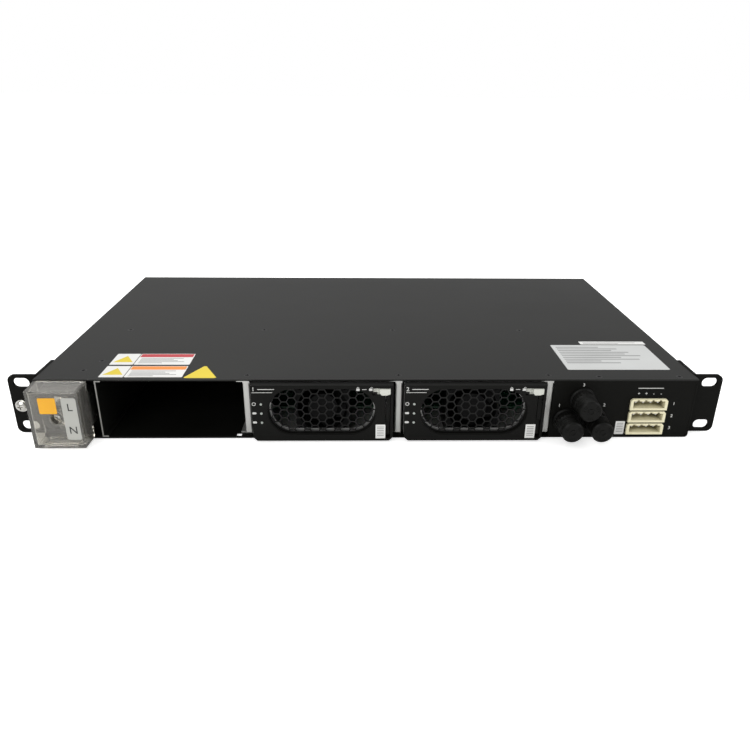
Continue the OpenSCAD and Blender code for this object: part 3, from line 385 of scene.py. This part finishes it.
face_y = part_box("terminal_cover")[0].y - 0.02 * MM
orange_film = label_stock("orange_film", (0.75, 0.36, 0.01), (0.86, 0.45, 0.02))
grey_film = label_stock("grey_film", (0.40, 0.40, 0.37), (0.46, 0.46, 0.43))
black_ink = label_stock("black_ink", (0.012, 0.012, 0.012), (0.02, 0.02, 0.02), 0.4)
flat_shapes("orange_square", [corner_loop(11.2, 11.2, 0.8)],
            Vector((-206.6 * MM, face_y, 32.4 * MM)), 0.08, "front", orange_film, "shelf")
flat_shapes("conductor_strip", [corner_loop(9.4, 30, 1.4)],
            Vector((-192.8 * MM, face_y, 23 * MM)), 0.08, "front", grey_film, "shelf")
for sign, height in (("L", 31.2), ("N", 14.8)):
    letter("conductor_" + sign, sign, 5.2, Vector((-192.6 * MM, face_y - 0.1 * MM, height * MM)),
           black_ink, "shelf")

# ---- Rectifier modules --------------------------------------------------------------------
# Each module is a zinc plated casing with a black moulded bezel. A mesh covers its fan, three
# light pipes stand at the left, and latch and lever at the right.
casing_zinc = rolled_zinc("casing_zinc", (0.5, 0.5, 0.49), (0.62, 0.62, 0.6), 0.46)
bezel_black = grained("bezel_black", (0.0036, 0.0036, 0.0031), (0.0054, 0.0054, 0.0047), 0.48, 1300,
                      0.00004, rounding=0.0004, shine=0.11)
mesh_black = grained("mesh_black", (0.0075, 0.0075, 0.007), (0.012, 0.012, 0.0112), 0.45, 900, 0.00003,
                     rounding=0.0002, shine=0.25)
fan_black = grained("fan_black", (0.0022, 0.0022, 0.0022), (0.004, 0.004, 0.004), 0.45, 500, 0.00002,
                    shine=0.1)
latch_white = grained("latch_white", (0.55, 0.56, 0.50), (0.64, 0.65, 0.59), 0.42, 900, 0.00002,
                      rounding=0.0003)
pipe_clear = grained("pipe_clear", (0.30, 0.33, 0.30), (0.42, 0.45, 0.42), 0.2, 400, 0.00001)
print_white = label_stock("print_white", (0.52, 0.52, 0.50), (0.62, 0.62, 0.60), 0.6)
paper_white = label_stock("paper_white", (0.66, 0.66, 0.64), (0.76, 0.76, 0.74), 0.55)
paper_line = label_stock("paper_line", (0.20, 0.20, 0.20), (0.30, 0.30, 0.30), 0.6)


def ring_loops(radius, width, sides=20):
    """A ring as small wedges, so that its middle stays open."""
    loops = []
    for k in range(sides):
        a, b = (2 * math.pi * (k + s) / sides for s in (0.02, 0.98))
        loops.append([(r * math.cos(v), r * math.sin(v)) for r, v in
                      ((radius, a), (radius, b), (radius - width, b), (radius - width, a))])
    return loops


icon_x, lock_x = -45.4, 27.6
for m in (1, 2):
    body = "module_%d" % m
    low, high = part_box("bezel_%d" % m)
    middle = (low.x + high.x) / 2
    print_y = low.y - FILM_GAP
    sticker_x, sticker_z = middle + 38.6 * MM, 8 * MM
    dress(casing_zinc, "casing_%d" % m, "lid_%d" % m)
    dress(bezel_black, "bezel_%d" % m, "lever_%d" % m)
    dress(mesh_black, "grille_%d" % m)
    dress(fan_black, "fan_frame_%d" % m, "fan_rotor_%d" % m)
    dress(latch_white, "latch_%d" % m)
    dress(pipe_clear, "light_pipes_%d" % m)
    letter("module_number_%d" % m, str(m), 2.8, Vector((middle - 45.3 * MM, print_y, 39.2 * MM)),
           print_white, body)
    flat_shapes("module_rule_%d" % m, [shifted(corner_loop(11, 0.5, 0.2), -37, 39.2),
                                       shifted(corner_loop(13.5, 0.35, 0.15), -39.6, 36.9)],
                Vector((middle, print_y, 0)), 0.03, "front", print_white, body)
    icons = []
    for height, kind in ((28.6, "ring"), (21.8, "pill"), (15, "pill")):
        if kind == "ring":
            icons += [shifted(loop, icon_x, height) for loop in ring_loops(1.3, 0.4)]
        else:
            icons += [shifted(corner_loop(2.8, 1.5, 0.7), icon_x, height)]
    for side in (-1, 1):
        icons.append(shifted(corner_loop(2.2, 1.7, 0.25), lock_x + 4.2 * side, 39.0))
        icons += [shifted(loop, lock_x + 4.2 * side + (0.5 if side > 0 else 0), 40.1)
                  for loop in ring_loops(0.8, 0.3, 12)[:6]]
    icons.append(shifted(corner_loop(3, 0.4, 0.15), lock_x, 39.1))
    flat_shapes("module_signs_%d" % m, icons, Vector((middle, print_y, 0)), 0.03, "front",
                print_white, body)
    flat_shapes("module_sticker_%d" % m, [corner_loop(6.6, 10.4, 0.4)],
                Vector((sticker_x, print_y, sticker_z)), STICKER, "front", paper_white, body)
    flat_shapes("module_sticker_lines_%d" % m,
                [shifted(corner_loop(4.6, 0.5, 0.1), 0, 3.4 - k * 1.3) for k in range(6)],
                Vector((sticker_x, print_y - STICKER * MM, sticker_z)), 0.02, "front", paper_line, body)

# ---- Output panel: fuse holders -----------------------------------------------------------
# Black moulded holders with fluted caps; each cap pulls its ceramic fuse out with it.
cap_black = grained("cap_black", (0.0035, 0.0035, 0.0031), (0.006, 0.006, 0.0054), 0.44, 700, 0.00004,
                    rounding=0.0003, shine=0.12)
fuse_white = grained("fuse_white", (0.55, 0.55, 0.52), (0.68, 0.68, 0.64), 0.4, 500, 0.00002)
for k in (1, 2, 3):
    dress(cap_black, "fuse_holder_%d" % k, "fuse_cap_%d" % k)
    dress(fuse_white, "fuse_%d" % k)

# ---- Output panel: DC sockets and legends -------------------------------------------------
# Cream nylon sockets with square plated pins. White print numbers holders and sockets and
# marks the poles.
cream_nylon = grained("cream_nylon", (0.72, 0.66, 0.43), (0.82, 0.77, 0.54), 0.4, 600, 0.00003,
                      rounding=0.0003)
t = cream_nylon.node_tree
# Painted shade: ambient occlusion darkens the cream nylon to dark olive inside the socket cavities and
# other hollows.
cavity_shade = t.nodes.new("ShaderNodeAmbientOcclusion")
cavity_shade.inputs["Distance"].default_value = 0.006
cavity_shade.samples = 8
shade_curve = t.nodes.new("ShaderNodeMapRange")
shade_curve.inputs["From Min"].default_value = 0.15
shade_curve.inputs["From Max"].default_value = 0.6
t.links.new(cavity_shade.outputs["AO"], shade_curve.inputs["Value"])
painted_shade_mix = t.nodes.new("ShaderNodeMix")
painted_shade_mix.data_type = "RGBA"
painted_shade_mix.inputs["A"].default_value = (0.16, 0.13, 0.045, 1)
t.links.new(shade_curve.outputs[0], painted_shade_mix.inputs["Factor"])
t.links.new(t.nodes["Color Ramp"].outputs["Color"], painted_shade_mix.inputs["B"])
t.links.new(painted_shade_mix.outputs["Result"], t.nodes["Principled BSDF"].inputs["Base Color"])
dress(cream_nylon, "dc_socket_1", "dc_socket_2", "dc_socket_3")
panel_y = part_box("output_panel")[0].y - FILM_GAP
for number, x, z in (("1", 128.7, 24.4), ("2", 159.4, 24.7), ("3", 143.6, 39.6)):
    letter("holder_number_" + number, number, FIGURE, Vector((x * MM, panel_y, z * MM)), print_white,
           "shelf")
socket_low, socket_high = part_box("dc_socket_1")
socket_x = (socket_low.x + socket_high.x) / 2
for k, sign in enumerate(("+", "+", "-", "-")):
    letter("pole_%d" % (k + 1), sign, FIGURE,
           Vector((socket_x + (k - 1.5) * POLE_PITCH * MM, panel_y, 33.2 * MM)), print_white, "shelf")
flat_shapes("output_rule", [corner_loop(17.3, 0.5, 0.2)], Vector((socket_x, panel_y, 37.2 * MM)),
            0.03, "front", print_white, "shelf")
for k in (1, 2, 3):
    low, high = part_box("dc_socket_%d" % k)
    letter("socket_number_%d" % k, str(k), FIGURE,
           Vector((high.x + 5 * MM, panel_y, (low.z + high.z) / 2)), print_white, "shelf")
flat_shapes("panel_sticker", [corner_loop(6.4, 10, 0.4)], Vector((172.4 * MM, panel_y, 7.4 * MM)),
            STICKER, "front", paper_white, "shelf")
flat_shapes("panel_sticker_lines",
            [shifted(corner_loop(4.4, 0.5, 0.1), 0, 3.4 - k * 1.3) for k in range(6)],
            Vector((172.4 * MM, panel_y - STICKER * MM, 7.4 * MM)), 0.02, "front", paper_line, "shelf")

# ---- Labels on the cover ------------------------------------------------------------------
# Printed films, bare of words: a silver plate at the right, and at the left two white panels
# with a red and an orange band, two white squares and a yellow triangle.
top_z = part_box("top_cover")[1].z + FILM_GAP
front_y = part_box("output_panel")[0].y
silver_film = grained("silver_film", (0.56, 0.57, 0.56), (0.66, 0.67, 0.66), 0.42, 500, 0.00001,
                      metal=0.25)
red_film = label_stock("red_film", (0.42, 0.025, 0.035), (0.5, 0.04, 0.05))
warm_film = label_stock("warm_film", (0.72, 0.22, 0.03), (0.8, 0.28, 0.05))
yellow_film = label_stock("yellow_film", (0.62, 0.48, 0.02), (0.72, 0.56, 0.03))


def cover_label(name, x0, y0, x1, y1, mat, lift=0.0, corner=0.8, thick=FILM):
    """Film on the cover from its corners in mm, y counted back from the front plane."""
    flat_shapes(name, [corner_loop(x1 - x0, y1 - y0, corner)],
                Vector(((x0 + x1) / 2 * MM, front_y + (y0 + y1) / 2 * MM, top_z + lift * MM)),
                thick, "up", mat, "shelf")


def ruled(name, x0, x1, y_top, pitch, widths, mat, lift):
    """Rows of fine bars where the real film has its small print."""
    rows = []
    for k, share in enumerate(widths):
        length = (x1 - x0) * share
        rows.append(shifted(corner_loop(length, pitch * 0.42, pitch * 0.1), x0 + length / 2,
                            y_top - k * pitch))
    flat_shapes(name, rows, Vector((0, front_y, top_z + lift * MM)), 0.02, "up", mat, "shelf")


cover_label("name_plate", 137, 16.8, 208.6, 64.6, silver_film, corner=1.2)
cover_label("serial_strip", 160.7, 66, 210.4, 72.2, paper_white, corner=0.4)
ruled("name_plate_lines", 140, 204, 60, 3.4, (0.5, 0.7, 0.62, 0.8, 0.74, 0.9, 0.66, 0.85, 0.4, 0.6),
      paper_line, FILM)
ruled("serial_strip_lines", 163, 208, 69.6, 2, (0.9, 0.6), paper_line, FILM)
for row, (y0, y1, band, band_mat) in enumerate(((25.7, 46, 6.4, red_film), (4, 23.2, 6.4, warm_film))):
    cover_label("sign_square_%d" % row, -180, y0, -163.7, y1, paper_white)
    cover_label("notice_panel_%d" % row, -163.2, y0, -124.8, y1, paper_white)
    cover_label("notice_band_%d" % row, -162.6, y1 - band, -125.4, y1 - 0.6, band_mat, FILM, 0.4, 0.03)
    ruled("notice_lines_%d" % row, -161, -128, y1 - band - 2.2, 2.1, (0.9, 0.7, 0.8, 0.95, 0.5),
          paper_line, FILM)
    mid = (y0 + y1) / 2
    flat_shapes("sign_triangle_%d" % row, [[(-178.6, mid - 5.6), (-165.1, mid - 5.6), (-171.85, mid + 6)]],
                Vector((0, front_y, top_z + FILM * MM)), 0.03, "up", yellow_film, "shelf")
flat_shapes("yellow_triangle", [[(-123.6, 3.6), (-122.6, 2.6), (-103, 2.6), (-102, 3.6), (-112.2, 22.8),
                                 (-114, 22.8)]],
            Vector((0, front_y, top_z)), FILM, "up", yellow_film, "shelf")
